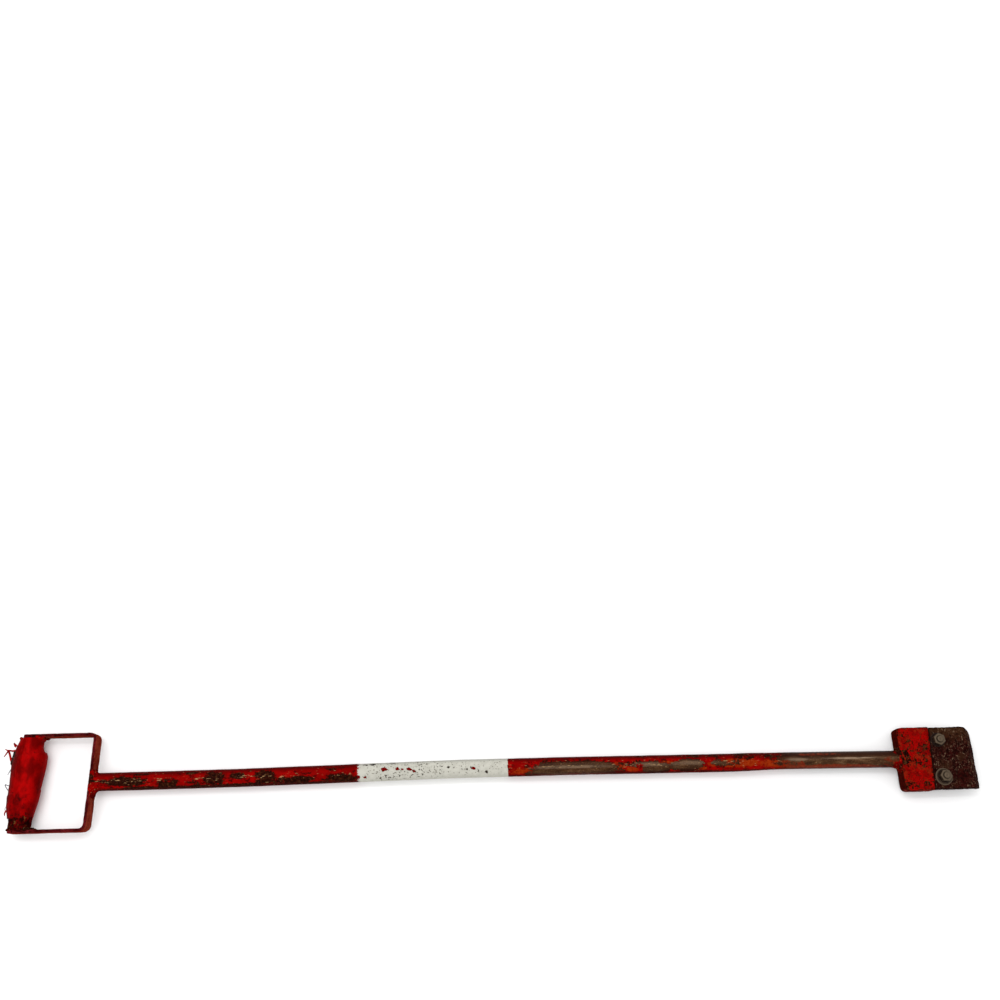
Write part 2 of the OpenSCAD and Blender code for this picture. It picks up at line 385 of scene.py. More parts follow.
CAMERA_HEIGHT = 1.273        # above the shaft's axis
CAMERA_ASIDE = 0.027         # to the blade's side of the bar's middle
CAMERA_BACK = 0.144          # to the near side of the shaft
CAMERA_TILT = 68.108         # degrees below the horizon
CAMERA_ROLL = 1.557          # degrees
CAMERA_LENS = 35.28
SENSOR = 36.0


def make_camera():
    """Looks down at the bar from its near side."""
    data = bpy.data.cameras.new("camera")
    data.lens = CAMERA_LENS
    data.sensor_width = SENSOR
    data.clip_start = 0.05
    middle = (cad_bounds[0][0] + cad_bounds[1][0]) / 2
    place = Matrix.Translation((middle + CAMERA_ASIDE, -CAMERA_BACK, AXIS_Z + CAMERA_HEIGHT))
    tilt = Matrix.Rotation(math.radians(90 - CAMERA_TILT), 4, "X")
    roll = Matrix.Rotation(math.radians(-CAMERA_ROLL), 4, "Z")
    camera = new_object("camera", data)
    camera.matrix_world = place @ tilt @ roll
    bpy.context.scene.camera = camera


def area_light(name, place, target, size, power):
    data = bpy.data.lights.new(name, "AREA")
    data.shape = "RECTANGLE"
    data.size, data.size_y = size
    data.energy = power
    aim = (Vector(target) - Vector(place)).to_track_quat("-Z", "Y")
    new_object(name, data).matrix_world = Matrix.Translation(place) @ aim.to_matrix().to_4x4()


def make_studio():
    """A white room: an even sky, a strip light, a soft box and a sheet of paper as the floor."""
    world = bpy.data.worlds.new("studio")
    world.use_nodes = True
    background = world.node_tree.nodes["Background"]
    background.inputs["Color"].default_value = (1.0, 1.0, 1.0, 1.0)
    background.inputs["Strength"].default_value = 0.86
    bpy.context.scene.world = world
    area_light("strip", (0.1, 0.55, 2.1), (0.1, 0, 0), (2.6, 0.07), 6)
    area_light("soft_box", (-0.6, 0.3, 2.2), (0, 0, 0), (2.4, 1.6), 28)
    bpy.ops.mesh.primitive_plane_add(size=40.0, location=(0, 0, -0.0002))
    floor = bpy.context.object
    floor.name = "floor"
    paper = Shader("paper")
    tone = paper.mix(paper.noise(400, seed=3), (0.87, 0.87, 0.87), (0.89, 0.89, 0.89))
    # A little light of its own keeps the paper white close to the bar, as in a catalogue cut-out.
    paper.principled.inputs["Emission Color"].default_value = (1.0, 1.0, 1.0, 1.0)
    paper.principled.inputs["Emission Strength"].default_value = 0.07
    floor.data.materials.append(paper.finish(tone, 0.9, paper.normal, specular=0.0))
    bpy.context.scene.view_settings.view_transform = "Standard"


# ---- materials ----

def shaft_surface(name):
    """Chipped red paint with a white band, over rust that hands have rubbed smooth."""
    s = Shader(name)
    x = s.axis(s.place, "X")
    sideways = s.axis(s.normal, "Y")
    coarse = s.patches(10, 0.34, 0.66, detail=8, roughness=0.70, stretch=(0.6, 1, 1), seed=2)
    fine = s.fine_patches(2.4, seed=1)
    ragged = s.plus(s.times(coarse, 0.62), s.times(fine, 0.38))
    ragged = s.minus(ragged, 0.5)
    loss = s.plus(s.attribute("bare"), s.times(ragged, 0.95))
    in_band = band_mask(s, x, ragged)
    not_band = s.minus(1.0, in_band)
    gone = s.times(s.ramp(loss, 0.47, 0.53), not_band)
    red = red_paint(s, fine, ragged, sideways)
    red = s.mix(s.times(s.ramp(loss, 0.30, 0.47), 0.6), red, RED_DARK)
    paint = s.mix(in_band, red, band_paint(s, ragged, sideways))
    color = s.mix(gone, paint, bare_rust(s, fine, ragged, sideways))
    # Painted highlights: pale glints where the broken edges of the paint and streaks along the middle catch
    # the light.
    rim = s.times(s.ramp(loss, 0.36, 0.44), s.ramp(loss, 0.60, 0.54))
    rim = s.times(rim, s.patches(1.7, 0.67, 0.73, detail=2, seed=10))
    glint_streak = s.noise(1.3, roughness=0.6, stretch=(0.20, 1, 1), seed=12)
    glint_streak = s.plus(glint_streak, s.times(s.attribute("glint_streaks"), 0.13))
    glint = s.larger(s.times(rim, 0.7), s.ramp(glint_streak, 0.66, 0.71))
    color = s.mix(s.times(s.times(glint, not_band), 0.8), color, GLINT)
    # Painted shade: the shaft's near side, turned down towards the floor, is darkened; it stays redder where
    # the reddish attribute is high.
    low = s.ramp(s.plus(sideways, s.times(ragged, 0.34)), -0.80, -0.92)
    near_side_shade_color = s.mix(s.attribute("reddish"), srgb(52, 12, 6), srgb(96, 34, 12))
    color = s.mix(s.times(s.times(low, not_band), 0.85), color, near_side_shade_color)
    height = s.minus(s.times(fine, 0.35), gone)
    rough = s.plus(s.times(fine, 0.25), 0.24)
    shine = s.plus(s.times(s.times(gone, s.attribute("rubbed")), 0.045), 0.004)
    return s.finish(color, rough, s.bump(height, 0.22), specular=shine)


def band_mask(s, x, ragged):
    """1 inside the white band. One end is ragged, the other was cut by masking tape."""
    ragged_end = s.plus(x, s.times(ragged, 7 * MM))
    start = s.ramp(ragged_end, BAND_START - 0.25 * MM, BAND_START + 0.25 * MM)
    taped_end = s.plus(x, s.times(ragged, 1.6 * MM))
    return s.times(start, s.ramp(taped_end, BAND_END + 0.3 * MM, BAND_END - 0.3 * MM))


def red_paint(s, fine, ragged, sideways):
    """Red with darker blotches, faded to orange where the faded attribute is high; painted shade darkens the
    far side.
    """
    red = s.mix(s.patches(16, 0.35, 0.65, detail=3, seed=4), RED, RED_BRIGHT)
    blotch = s.noise(5, detail=6, roughness=0.65, stretch=(0.7, 1, 1), seed=5)
    red = s.mix(s.ramp(blotch, 0.54, 0.60), red, RED_DARK)
    red = s.mix(s.ramp(blotch, 0.63, 0.69), red, RUST_DARK)
    # Painted shade: the paint turns darker towards the far side.
    red = s.mix(s.ramp(sideways, 0.25, 0.85), red, RED_DARK)
    fade = s.plus(s.attribute("faded"), s.times(ragged, -0.8))
    return s.mix(s.ramp(fade, 0.46, 0.54), red, s.mix(fine, ORANGE, ORANGE_PALE))


def bare_rust(s, fine, ragged, sideways):
    """Near-black flaky rust; smoother, paler and streaked lengthwise where it is rubbed, with painted shade
    on the far side and a pale painted highlight line.
    """
    patch = s.noise(3, detail=5, roughness=0.65, seed=11)
    rust = s.mix(s.ramp(patch, 0.40, 0.52), BLACK, RUST_DARK)
    rust = s.mix(s.ramp(patch, 0.54, 0.66), rust, BROWN)
    streak = s.noise(5, detail=7, roughness=0.66, stretch=(0.25, 1, 1), seed=9)
    rubbed = s.mix(s.ramp(streak, 0.40, 0.54), srgb(56, 30, 14), BROWN)
    rubbed = s.mix(s.ramp(streak, 0.52, 0.66), rubbed, BROWN_PALE)
    grain = s.noise(1.1, detail=3, roughness=0.6, seed=13)
    rubbed = s.mix(s.times(s.ramp(grain, 0.54, 0.64), 0.5), rubbed, srgb(128, 98, 70))
    rubbed = s.mix(s.times(s.ramp(grain, 0.46, 0.36), 0.6), rubbed, srgb(44, 20, 8))
    # Painted shade: the rubbed metal turns dark towards the far side.
    rubbed = s.mix(s.times(s.ramp(sideways, 0.08, 0.50), 0.85), rubbed, srgb(48, 20, 7))
    # Painted highlight: a pale streaked line along the rubbed metal.
    highlight_mask = s.plus(s.times(s.ramp(streak, 0.36, 0.52), 0.6), 0.4)
    highlight_mask = s.math("MULTIPLY", s.attribute("painted_highlight_line"), highlight_mask, clamp=True)
    rubbed = s.mix(highlight_mask, rubbed, srgb(178, 150, 124))
    rust = s.mix(s.attribute("rubbed"), rust, rubbed)
    reddish = s.plus(s.attribute("reddish"), s.times(ragged, -0.7))
    return s.mix(s.ramp(reddish, 0.40, 0.62), rust, s.mix(fine, srgb(104, 28, 10), srgb(136, 50, 20)))


def band_paint(s, ragged, sideways):
    """Off-white paint with fine dark specks and a few chips down to the red; painted shade greys its far
    side.
    """
    white = s.mix(s.patches(6, 0.38, 0.62, detail=7, seed=7), srgb(202, 200, 188), WHITE)
    # Painted shade: the band greys towards the far side.
    white = s.mix(s.ramp(sideways, 0.55, 0.95), white, srgb(176, 175, 166))
    speck_noise = s.noise(2.3, detail=3, roughness=0.6, seed=8)
    speck = s.plus(speck_noise, s.times(s.attribute("speckled"), 0.085))
    white = s.mix(s.times(s.ramp(speck, 0.64, 0.69), 0.8), white, srgb(96, 90, 76))
    white = s.mix(s.ramp(speck, 0.69, 0.72), white, srgb(40, 28, 22))
    chip = s.plus(s.attribute("band_chip"), s.times(ragged, 0.9))
    chip_color = s.mix(s.ramp(sideways, 0.35, 0.6), srgb(112, 8, 8), srgb(26, 16, 12))
    chip_color = s.mix(s.ramp(chip, 0.62, 0.56), chip_color, srgb(70, 20, 18))
    return s.mix(s.ramp(chip, 0.50, 0.56), white, chip_color)


def head_material():
    """Red paint over pitted steel: dark on the sides as painted shade, chipped and part orange on top."""
    s = Shader("head_paint")
    fine = s.fine_patches(1.9, seed=31)
    patchy = s.patches(3.4, 0.32, 0.68, detail=6, roughness=0.70, seed=32)
    ragged = s.plus(s.times(fine, 0.5), s.times(patchy, 0.5))
    red = s.mix(s.patches(11, 0.4, 0.6, detail=3, seed=33), srgb(132, 7, 5), srgb(164, 7, 5))
    orange = s.patches(9, 0.50, 0.60, detail=6, roughness=0.62, seed=34)
    red = s.mix(s.times(orange, 0.8), red, srgb(140, 34, 14))
    red = s.mix(s.patches(1.5, 0.54, 0.64, detail=3, seed=36), red, srgb(84, 10, 6))
    rust = s.mix(s.patches(2.5, 0.46, 0.62, detail=3, seed=37), BLACK, srgb(76, 46, 24))
    chips = s.plus(s.attribute("scar"), s.times(s.minus(ragged, 0.5), 0.9))
    chips = s.plus(chips, s.times(s.attribute("wear"), 0.18))
    chips = s.ramp(chips, 0.45, 0.50)
    color = s.mix(chips, red, rust)
    # Painted shade: faces that do not face up get a dark copy of the paint in place of the top's colour.
    up = s.ramp(s.plus(s.axis(s.normal, "Z"), s.times(fine, 0.15)), 0.50, 0.72)
    side = s.mix(ragged, srgb(30, 3, 2), srgb(86, 18, 10))
    near = s.ramp(s.axis(s.normal, "Y"), -0.5, -0.8)
    scuffed = s.patches(6, 0.40, 0.56, detail=7, roughness=0.68, stretch=(0.4, 1, 1), seed=38)
    side = s.mix(s.times(s.times(near, scuffed), 0.75), side, srgb(146, 62, 54))
    side = s.mix(s.patches(5, 0.58, 0.62, detail=6, roughness=0.7, seed=39), side, srgb(24, 8, 5))
    color = s.mix(up, side, color)
    color = s.mix(s.patches(1.4, 0.70, 0.76, detail=2, seed=35), color, srgb(150, 96, 70))
    height = s.minus(s.times(fine, 0.5), chips)
    return s.finish(color, 0.5, s.bump(height, 0.3), specular=0.0)


def blade_material():
    """Dark pitted rust, olive towards the far side, with pale scale specks."""
    s = Shader("rusty_steel")
    fine = s.noise(1.7, detail=5, roughness=0.6, seed=41)
    flaky = s.noise(5, detail=6, roughness=0.68, distortion=0.8, seed=42)
    color = s.mix(s.ramp(flaky, 0.38, 0.62), srgb(24, 3, 2), srgb(54, 12, 9))
    olive = s.plus(s.axis(s.place, "Y"), s.times(flaky, 16 * MM))
    color = s.mix(s.times(s.ramp(olive, 22 * MM, 44 * MM), 0.85), color, srgb(62, 38, 20))
    color = s.mix(s.patches(16, 0.52, 0.66, detail=5, seed=43), color, srgb(52, 26, 14))
    flecked = s.patches(11, 0.32, 0.54, roughness=0.6, seed=46)
    color = s.mix(s.times(s.ramp(fine, 0.54, 0.64), flecked), color, srgb(90, 62, 48))
    scale = s.patches(2.0, 0.60, 0.66, stretch=(1, 0.6, 1), seed=44)
    color = s.mix(s.times(scale, flecked), color, srgb(122, 100, 78))
    color = s.mix(s.patches(3, 0.56, 0.62, roughness=0.65, seed=45), color, BLACK)
    edge = s.plus(s.attribute("wear"), s.times(flaky, 0.8))
    color = s.mix(s.times(s.ramp(edge, 0.75, 1.05), 0.8), color, srgb(26, 9, 6))
    height = s.plus(fine, flaky)
    return s.finish(color, 0.55, s.bump(height, 0.3), specular=0.01)


def hardware_material():
    """Dull grey-brown steel, darkened by an attribute that holds how rusty a piece is and, on washers,
    painted shade round the nut.
    """
    s = Shader("fastener_steel")
    fine = s.noise(1.2, detail=5, seed=51)
    rust = s.noise(4, detail=5, roughness=0.65, seed=52)
    color = s.mix(s.ramp(fine, 0.36, 0.64), srgb(36, 24, 16), srgb(70, 55, 42))
    color = s.mix(s.ramp(s.attribute("wear"), 0.25, 0.7), color, srgb(98, 83, 66))
    dirt_and_shade = s.ramp(s.plus(s.attribute("grime_and_shade"), rust), 0.80, 1.04)
    color = s.mix(dirt_and_shade, color, srgb(34, 18, 12))
    return s.finish(color, 0.45, s.bump(fine, 0.12), metallic=0.2, specular=0.1)


def yoke_material():
    """Dull brown-red paint on the faces; the narrow top edges are near-black as painted shade."""
    s = Shader("yoke_paint")
    fine = s.fine_patches(1.8, seed=61)
    brushed = s.patches(7, 0.34, 0.66, detail=6, roughness=0.6, stretch=(0.5, 0.35, 1), seed=62)
    paint = s.mix(brushed, srgb(102, 22, 11), srgb(142, 54, 38))
    paint = s.mix(s.ramp(fine, 0.80, 0.97), paint, srgb(160, 78, 58))
    # Painted shade: the narrow upward-facing edges get a near-black copy of the paint.
    narrow = s.ramp(s.axis(s.normal, "Z"), 0.50, 0.85)
    edge = s.mix(brushed, srgb(62, 7, 10), srgb(112, 26, 30))
    edge = s.mix(s.ramp(fine, 0.62, 0.80), edge, srgb(26, 4, 4))
    color = s.mix(narrow, paint, edge)
    chips = s.patches(6, 0.60, 0.64, detail=6, roughness=0.68, seed=63)
    color = s.mix(chips, color, srgb(40, 12, 6))
    height = s.minus(s.times(fine, 0.5), chips)
    return s.finish(color, 0.5, s.bump(height, 0.2), specular=0.0)


def weld_material():
    """Thick red paint over weld metal, with black grime where it is scarred, painted shade on faces turned
    sideways and down, and a few painted glints.
    """
    s = Shader("painted_weld")
    fine = s.fine_patches(1.6, seed=71)
    patchy = s.patches(5, 0.34, 0.66, detail=5, seed=73)
    red = s.mix(s.patches(7, 0.38, 0.62, seed=72), srgb(96, 3, 3), srgb(160, 4, 3))
    # Painted shade: faces turned sideways and down are darker.
    red = s.mix(s.ramp(s.axis(s.normal, "Z"), 0.35, 0.0), red, srgb(84, 6, 4))
    amount = s.times(s.plus(fine, patchy), 0.45)
    dark = s.plus(s.attribute("scar"), s.minus(amount, 0.45))
    rust = s.mix(fine, BLACK, srgb(54, 20, 10))
    color = s.mix(s.ramp(dark, 0.42, 0.48), red, rust)
    # Painted highlights: a few pale glints.
    color = s.mix(s.patches(1.6, 0.66, 0.72, detail=2, seed=74), color, GLINT)
    return s.finish(color, 0.45, s.bump(fine, 0.2), specular=0.0)


def pipe_material():
    """The grip pipe's bare ends: dark chipped paint with dried yellowish spatter."""
    s = Shader("pipe_paint")
    fine = s.fine_patches(1.8, seed=81)
    patchy = s.patches(6, 0.36, 0.64, detail=5, seed=82)
    color = s.mix(patchy, srgb(30, 2, 2), srgb(98, 4, 5))
    color = s.mix(s.ramp(fine, 0.60, 0.76), color, BLACK)
    spatter = s.patches(3.0, 0.63, 0.68, distortion=1.0, seed=86)
    color = s.mix(spatter, color, srgb(134, 98, 52))
    return s.finish(color, 0.5, s.bump(fine, 0.2), specular=0.0)


def tape_material():
    """Worn red tape with grime at the torn ends, and painted shade on its flanks and in its fold line."""
    s = Shader("red_tape")
    soft = s.patches(18, 0.34, 0.66, stretch=(1.6, 0.8, 1), seed=91)
    weave = s.noise(0.9, detail=3, stretch=(1, 1.4, 1), seed=92)
    color = s.mix(soft, srgb(114, 0, 0), srgb(182, 2, 3))
    worn = s.patches(5, 0.58, 0.72, detail=6, roughness=0.62, stretch=(1.4, 0.5, 1), seed=93)
    color = s.mix(s.times(worn, 0.7), color, srgb(184, 20, 18))
    rubbed = s.patches(3, 0.60, 0.70, detail=5, roughness=0.65, seed=96)
    color = s.mix(s.times(rubbed, 0.7), color, srgb(104, 2, 4))
    # Painted shade: the tape's flanks are darkened, the left one most.
    color = s.mix(s.attribute("shade"), color, srgb(76, 0, 0))
    stain = s.patches(6, 0.34, 0.66, detail=7, roughness=0.65, seed=94)
    # Grime at the blotch and the torn end, with painted shade from the left flank and the fold line.
    grime_and_shade = s.ramp(s.plus(s.attribute("grime_and_shade"), s.times(stain, 0.6)), 0.55, 1.15)
    color = s.mix(grime_and_shade, color, srgb(50, 2, 3))
    spot = s.plus(s.attribute("grime_and_shade"), s.times(s.noise(3, detail=5, seed=97), 1.2))
    color = s.mix(s.ramp(spot, 1.12, 1.2), color, srgb(30, 8, 6))
    height = s.plus(s.times(weave, 0.5), soft)
    return s.finish(color, 0.5, s.bump(height, 0.12), specular=0.01)


def cloth_material(name, dark, light):
    """Coarse woven stuff with dark stains."""
    s = Shader(name)
    weave = s.cells(0.8)
    stain = s.noise(6, detail=5, seed=95)
    color = s.mix(s.ramp(weave, 0.1, 0.6), dark, light)
    color = s.mix(s.ramp(stain, 0.5, 0.7), color, dark)
    return s.finish(color, 0.85, s.bump(weave, 0.2), specular=0.01)


# ---- shaft: tube, ground weld and shank follow one slightly bowed line ----

# The shaft's middle seen from above, as (x, y) stations in millimetres: it bows about 3 mm.
SHAFT_STATIONS = [
    (-494, -0.5), (-400, -0.5), (-300, 0.0), (-40, 3.6), (100, 3.5), (305, 2.2), (370, 2.8), (490, 1.5),
    (520, 1.2),
]

BAND_START = -160 * MM               # the white band
BAND_END = 28 * MM
TAPER = (322 * MM, 368 * MM)         # where the tube's diameter eases down to the shank's
TUBE_WALL = 2.6 * MM
SPIGOT_STEP = 1.9 * MM               # from the shank's surface down to its spigot's
RING_STEP = 1.5 * MM                 # between the rings of the shaft's skin
SHAFT_SEGMENTS = 60

# Worn places as (along X, angle round the shaft from the top to the near side, half length,
# half angle, strength): millimetres and degrees.
BARE_PLACES = [
    (-485, 0, 14, 11, 0.66), (-449, 8, 27, 36, 0.76), (-398, 22, 15, 28, 0.72), (-340, 4, 16, 54, 0.76),
    (-311, -10, 11, 28, 0.64), (-275, 8, 16, 60, 0.80), (-245, 33, 34, 26, 0.78), (-181, 38, 28, 34, 0.70),
    (-187, -30, 14, 18, 0.58), (-368, -36, 9, 14, 0.60), (-432, -36, 12, 14, 0.56), (-350, 24, 30, 16, 0.48),
    (-420, 60, 60, 18, 0.64), (-330, 60, 80, 22, 0.76), (-225, 64, 50, 18, 0.62), (112, 38, 62, 72, 1.10),
    (182, 2, 26, 20, 0.58), (100, -28, 50, 20, 0.46), (164, 46, 14, 54, 0.62), (212, 34, 22, 56, 0.80),
    (252, 20, 26, 50, 0.78), (262, -60, 100, 26, 0.46), (300, 2, 30, 26, 0.52), (335, -34, 30, 34, 0.54),
    (452, 0, 84, 200, 1.2),
]
WEAR_PLACES = {
    "faded": [
        (42, 34, 16, 34, 0.60), (184, 36, 8, 18, 0.95), (166, 8, 14, 26, 0.55), (228, 4, 12, 22, 0.66),
        (270, 36, 10, 18, 0.55), (312, 14, 36, 34, 0.70), (362, 22, 30, 36, 0.66),
    ],
    "rubbed": [
        (106, 26, 64, 50, 1.0), (206, 24, 26, 34, 0.9), (252, 10, 26, 34, 0.9), (290, 2, 30, 22, 0.6),
        (446, -2, 84, 90, 1.0),
    ],
    "reddish": [
        (430, 66, 84, 34, 0.75), (372, 34, 34, 42, 0.62), (420, -40, 40, 16, 0.42), (506, 30, 12, 60, 0.50),
        (112, 82, 60, 24, 0.60),
    ],
    # Painted highlights: the pale line along the shank and fainter ones on the rubbed patches.
    "painted_highlight_line": [
        (390, -2, 15, 10, 0.42), (455, -4, 34, 4, 1.1), (446, -4, 70, 12, 0.06), (104, 12, 56, 10, 0.30),
        (210, 4, 38, 16, 0.22), (264, 2, 28, 14, 0.22),
    ],
    # Painted highlights: places of pale glint streaks along the shaft's middle.
    "glint_streaks": [
        (-450, 2, 34, 20, 0.55), (-482, 0, 8, 9, 0.6), (-411, 2, 14, 9, 0.85), (-360, 2, 16, 9, 0.85),
        (-340, 6, 12, 14, 0.5), (-301, 2, 12, 9, 0.85), (-275, 0, 12, 14, 0.5), (-240, 12, 30, 12, 0.6),
        (-184, 10, 18, 14, 0.7), (52, 8, 14, 12, 0.7), (104, 8, 50, 12, 0.45), (172, 4, 20, 18, 0.6),
        (225, 8, 26, 16, 0.55), (300, 6, 40, 18, 0.5), (352, 10, 20, 16, 0.5),
    ],
    "band_chip": [
        (-127, -11, 4.6, 16, 0.76), (-111, -10, 3.4, 12, 0.74),
        (-96, -4, 3.8, 13, 0.76), (-90, 9, 2.8, 11, 0.74),
        (-151, 36, 2.6, 11, 0.84), (-160, 34, 3.2, 16, 0.85),
        (-151, -50, 5, 12, 0.78), (-142, -50, 4, 11, 0.78),
        (-118, -64, 7, 9, 0.78), (-15, 5, 3.2, 11, 0.72), (-104, -4, 2.0, 8, 0.64),
    ],
    # Broad fields of specks, and single black specks where the strength is 3
    "speckled": [
        (-120, 42, 24, 24, 1.5), (-90, 0, 60, 80, 0.9), (-20, 0, 46, 60, 0.55), (-134, 0, 20, 90, 0.6),
        (-38, -4, 1.7, 7, 3.0), (-9, 24, 1.8, 8, 3.0), (1, 30, 2.2, 8, 3.0), (13, 12, 1.6, 6, 3.0),
        (-47, -8, 1.5, 6, 3.0),
    ],
}


def shaft_line(x):
    """The shaft's middle at x: (y, z)."""
    stations_x = [station[0] * MM for station in SHAFT_STATIONS]
    stations_y = [station[1] * MM for station in SHAFT_STATIONS]
    return np.interp(x, stations_x, stations_y), AXIS_Z


def shaft_radius(x):
    """The tube's radius easing down to the shank's, as filed after welding."""
    ease = smooth_step(np.asarray(x, float), *TAPER)
    return TUBE_R + (SHANK_R - TUBE_R) * ease


def place_strength(places, x, angle):
    """How strongly a list of places touches each point of the shaft."""
    total = np.zeros(len(x))
    for at, turn, half_length, half_angle, strength in places:
        across = (angle - math.radians(turn) + math.pi) % (2 * math.pi) - math.pi
        distance = ((x - at * MM) / (half_length * MM)) ** 2 + (across / math.radians(half_angle)) ** 2
        total = np.maximum(total, strength * (1 - smooth_step(distance, 0.15, 1.6)))
    return total


def shaft_sweep(name, slot, node, material, rings, skin_r, dents, pitted=False):
    """A closed skin through rings of (x, radius) round the shaft's line, last ring joined to the first.

    What lies outside skin_r is dented: dents holds their height, size, seed and number of octaves.
    """
    x = np.repeat([ring[0] for ring in rings], SHAFT_SEGMENTS)
    radius = np.repeat([ring[1] for ring in rings], SHAFT_SEGMENTS)
    angle = np.tile(np.arange(SHAFT_SEGMENTS) * TURN / SHAFT_SEGMENTS, len(rings))
    y, z = shaft_line(x)
    points = np.column_stack([x, y - np.sin(angle) * radius, z + np.cos(angle) * radius])
    height, size, seed, octaves = dents
    push = height * MM * fractal_noise(points, size * MM, seed, octaves)
    bare = place_strength(BARE_PLACES, x, angle)
    if pitted:
        pits = np.clip(fractal_noise(points, 3.2 * MM, 16, octaves=3), -1, 1)
        push += smooth_step(bare, 0.2, 0.6) * (0.16 * MM * pits - 0.10 * MM)
    radius = radius + np.where(radius > skin_r, push, 0)
    points = np.column_stack([x, y - np.sin(angle) * radius, z + np.cos(angle) * radius])
    piece = make_object(name, points, ring_faces(len(rings), SHAFT_SEGMENTS))
    set_attribute(piece.data, "bare", np.maximum(bare, 0.08))
    for attribute, places in WEAR_PLACES.items():
        set_attribute(piece.data, attribute, place_strength(places, x, angle))
    finish_piece(piece, material, slot, node)


def stations(start, end, step):
    """Evenly spaced places from start to end, about step apart."""
    return list(np.linspace(start, end, max(2, int(round((end - start) / step)) + 1)))


def make_tube(material):
    """The painted tube, with small dents all over and deeper pits where the paint is gone."""
    bore_r = TUBE_R - TUBE_WALL
    rings = [(x, shaft_radius(x)) for x in stations(X_BACK, JOINT_LOW.x, RING_STEP)]
    rings += [(x, bore_r) for x in stations(X_BACK, JOINT_LOW.x, 20 * RING_STEP)][::-1]
    skin_r = bore_r + 1 * MM
    dents = (0.10, 14, 11, 3)
    shaft_sweep("shaft_tube_painted", "shaft_paint", "shaft_tube", material, rings, skin_r, dents, True)


def make_shank(material):
    """The bare bar behind the head, and its spigot inside the tube."""
    start = JOINT_HIGH.x
    spigot_r = SHANK_R - SPIGOT_STEP
    centre_r = 0.2 * MM
    rings = [(SHANK_LOW.x, centre_r), (SHANK_LOW.x, spigot_r), (start, spigot_r)]
    rings += [(x, shaft_radius(x)) for x in stations(start, X_HEEL, RING_STEP)]
    rings.append((X_HEEL, centre_r))
    skin_r = SHANK_R - 0.1 * MM
    shaft_sweep("head_shank_worn", "worn_steel", "head_shank", material, rings, skin_r, (0.08, 12, 41, 4))


def make_joint_weld(material):
    """The weld between tube and shank, filed flush: only slight ripples are left."""
    start, end = JOINT_LOW.x, JOINT_HIGH.x
    inner = SHANK_R - SPIGOT_STEP
    rings = [(start, inner)]
    rings += [(x, shaft_radius(x)) for x in stations(start, end, 0.8 * MM)]
    rings.append((end, inner))
    skin_r = inner + 0.5 * MM
    shaft_sweep("shank_weld_filed", "worn_steel", "shank_weld", material, rings, skin_r, (0.10, 4, 61, 3))


# ---- beads of weld metal ----

def fillet_skin(wall, direction, radius, reach, stretch, half_height, y_middle):
    """A hollow-faced ring in the corner between the shaft and a wall; reach is (near side, far side)."""
    segments = 72
    sunk = 0.8 * MM                  # into the wall
    inner = radius - 0.7 * MM        # inside the shaft's surface
    angle = np.arange(segments) * TURN / segments
    near = (1 - np.sin(angle)) / 2
    size = reach[1] + (reach[0] - reach[1]) * near
    rows = [(-sunk, radius + size)]
    for t in np.linspace(0, 1, 12):
        rows.append((t * size * stretch, radius + size * (1 - np.sqrt(1 - (1 - t) ** 2)) + 0.1 * MM))
    rows.append((reach[0] * stretch, inner))
    rows.append((-sunk, inner))
    points = []
    for along, ring in rows:
        height = np.clip(ring * np.cos(angle), -half_height, half_height)
        x = wall + direction * (along + 0 * angle)
        points.append(np.column_stack([x, y_middle + ring * np.sin(angle), AXIS_Z + height]))
    faces = ring_faces(len(rows), segments)
    if direction < 0:
        faces = [face[::-1] for face in faces]
    return make_object("fillet", np.vstack(points), faces)


def weld_bead(node, slot, material, places, seed, fillets=(), voxel=0.6 * MM):
    """Fillets and overlapping blobs of (x, y, z, radius) melted into one lumpy skin."""
    blobs = bmesh.new()
    for x, y, z, radius in places:
        middle = Matrix.Translation((x, y, z))
        bmesh.ops.create_icosphere(blobs, subdivisions=2, radius=radius, matrix=middle)
    mesh = bpy.data.meshes.new(node + "_blobs")
    blobs.to_mesh(mesh)
    blobs.free()
    sources = [bpy.data.objects.new(node + "_blobs", mesh), *fillets]
    piece = remeshed(node + "_bead", sources, voxel, smooth=3)
    for source in sources:
        bpy.data.objects.remove(source)
    roughen(piece, [(3 * MM, 0.22 * MM), (1.2 * MM, 0.08 * MM)], seed)
    return finish_piece(piece, material, slot, node)


# Grimy places on top of a weld: from the wall along X, from the middle, size, strength; millimetres
YOKE_SCARS = [
    (-1.5, 4, 6, 0.80), (1, 1, 5, 0.75), (5, 2, 6, 0.66), (-2.5, -2, 4, 0.70), (8, -1, 5, 0.60),
    (0, 9, 4, 0.45),
]
HEAD_SCARS = [(0, 8, 6, 0.8), (1, 2, 4, 0.6), (-2, 12, 5, 0.8), (0, -9, 5, 0.5)]


def set_scar(piece, wall, spots, base):
    """Marks the grimy places of a weld at a wall, over a general level."""
    co = coordinates(piece.data)
    scar = np.full(len(co), base)
    for x, y, size, strength in spots:
        distance = np.hypot(co[:, 0] - (wall + x * MM), co[:, 1] - y * MM)
        scar = np.maximum(scar, strength * (1 - smooth_step(distance, 0.3 * size * MM, size * MM)))
    set_attribute(piece.data, "scar", scar)


def blob(rng, x, jitter, y, z, smallest, largest):
    """A blob of weld metal as (x, y, z, radius); jitter and its radius' limits are in millimetres."""
    return (x + rng.uniform(-jitter, jitter) * MM, y, z, rng.uniform(smallest, largest) * MM)


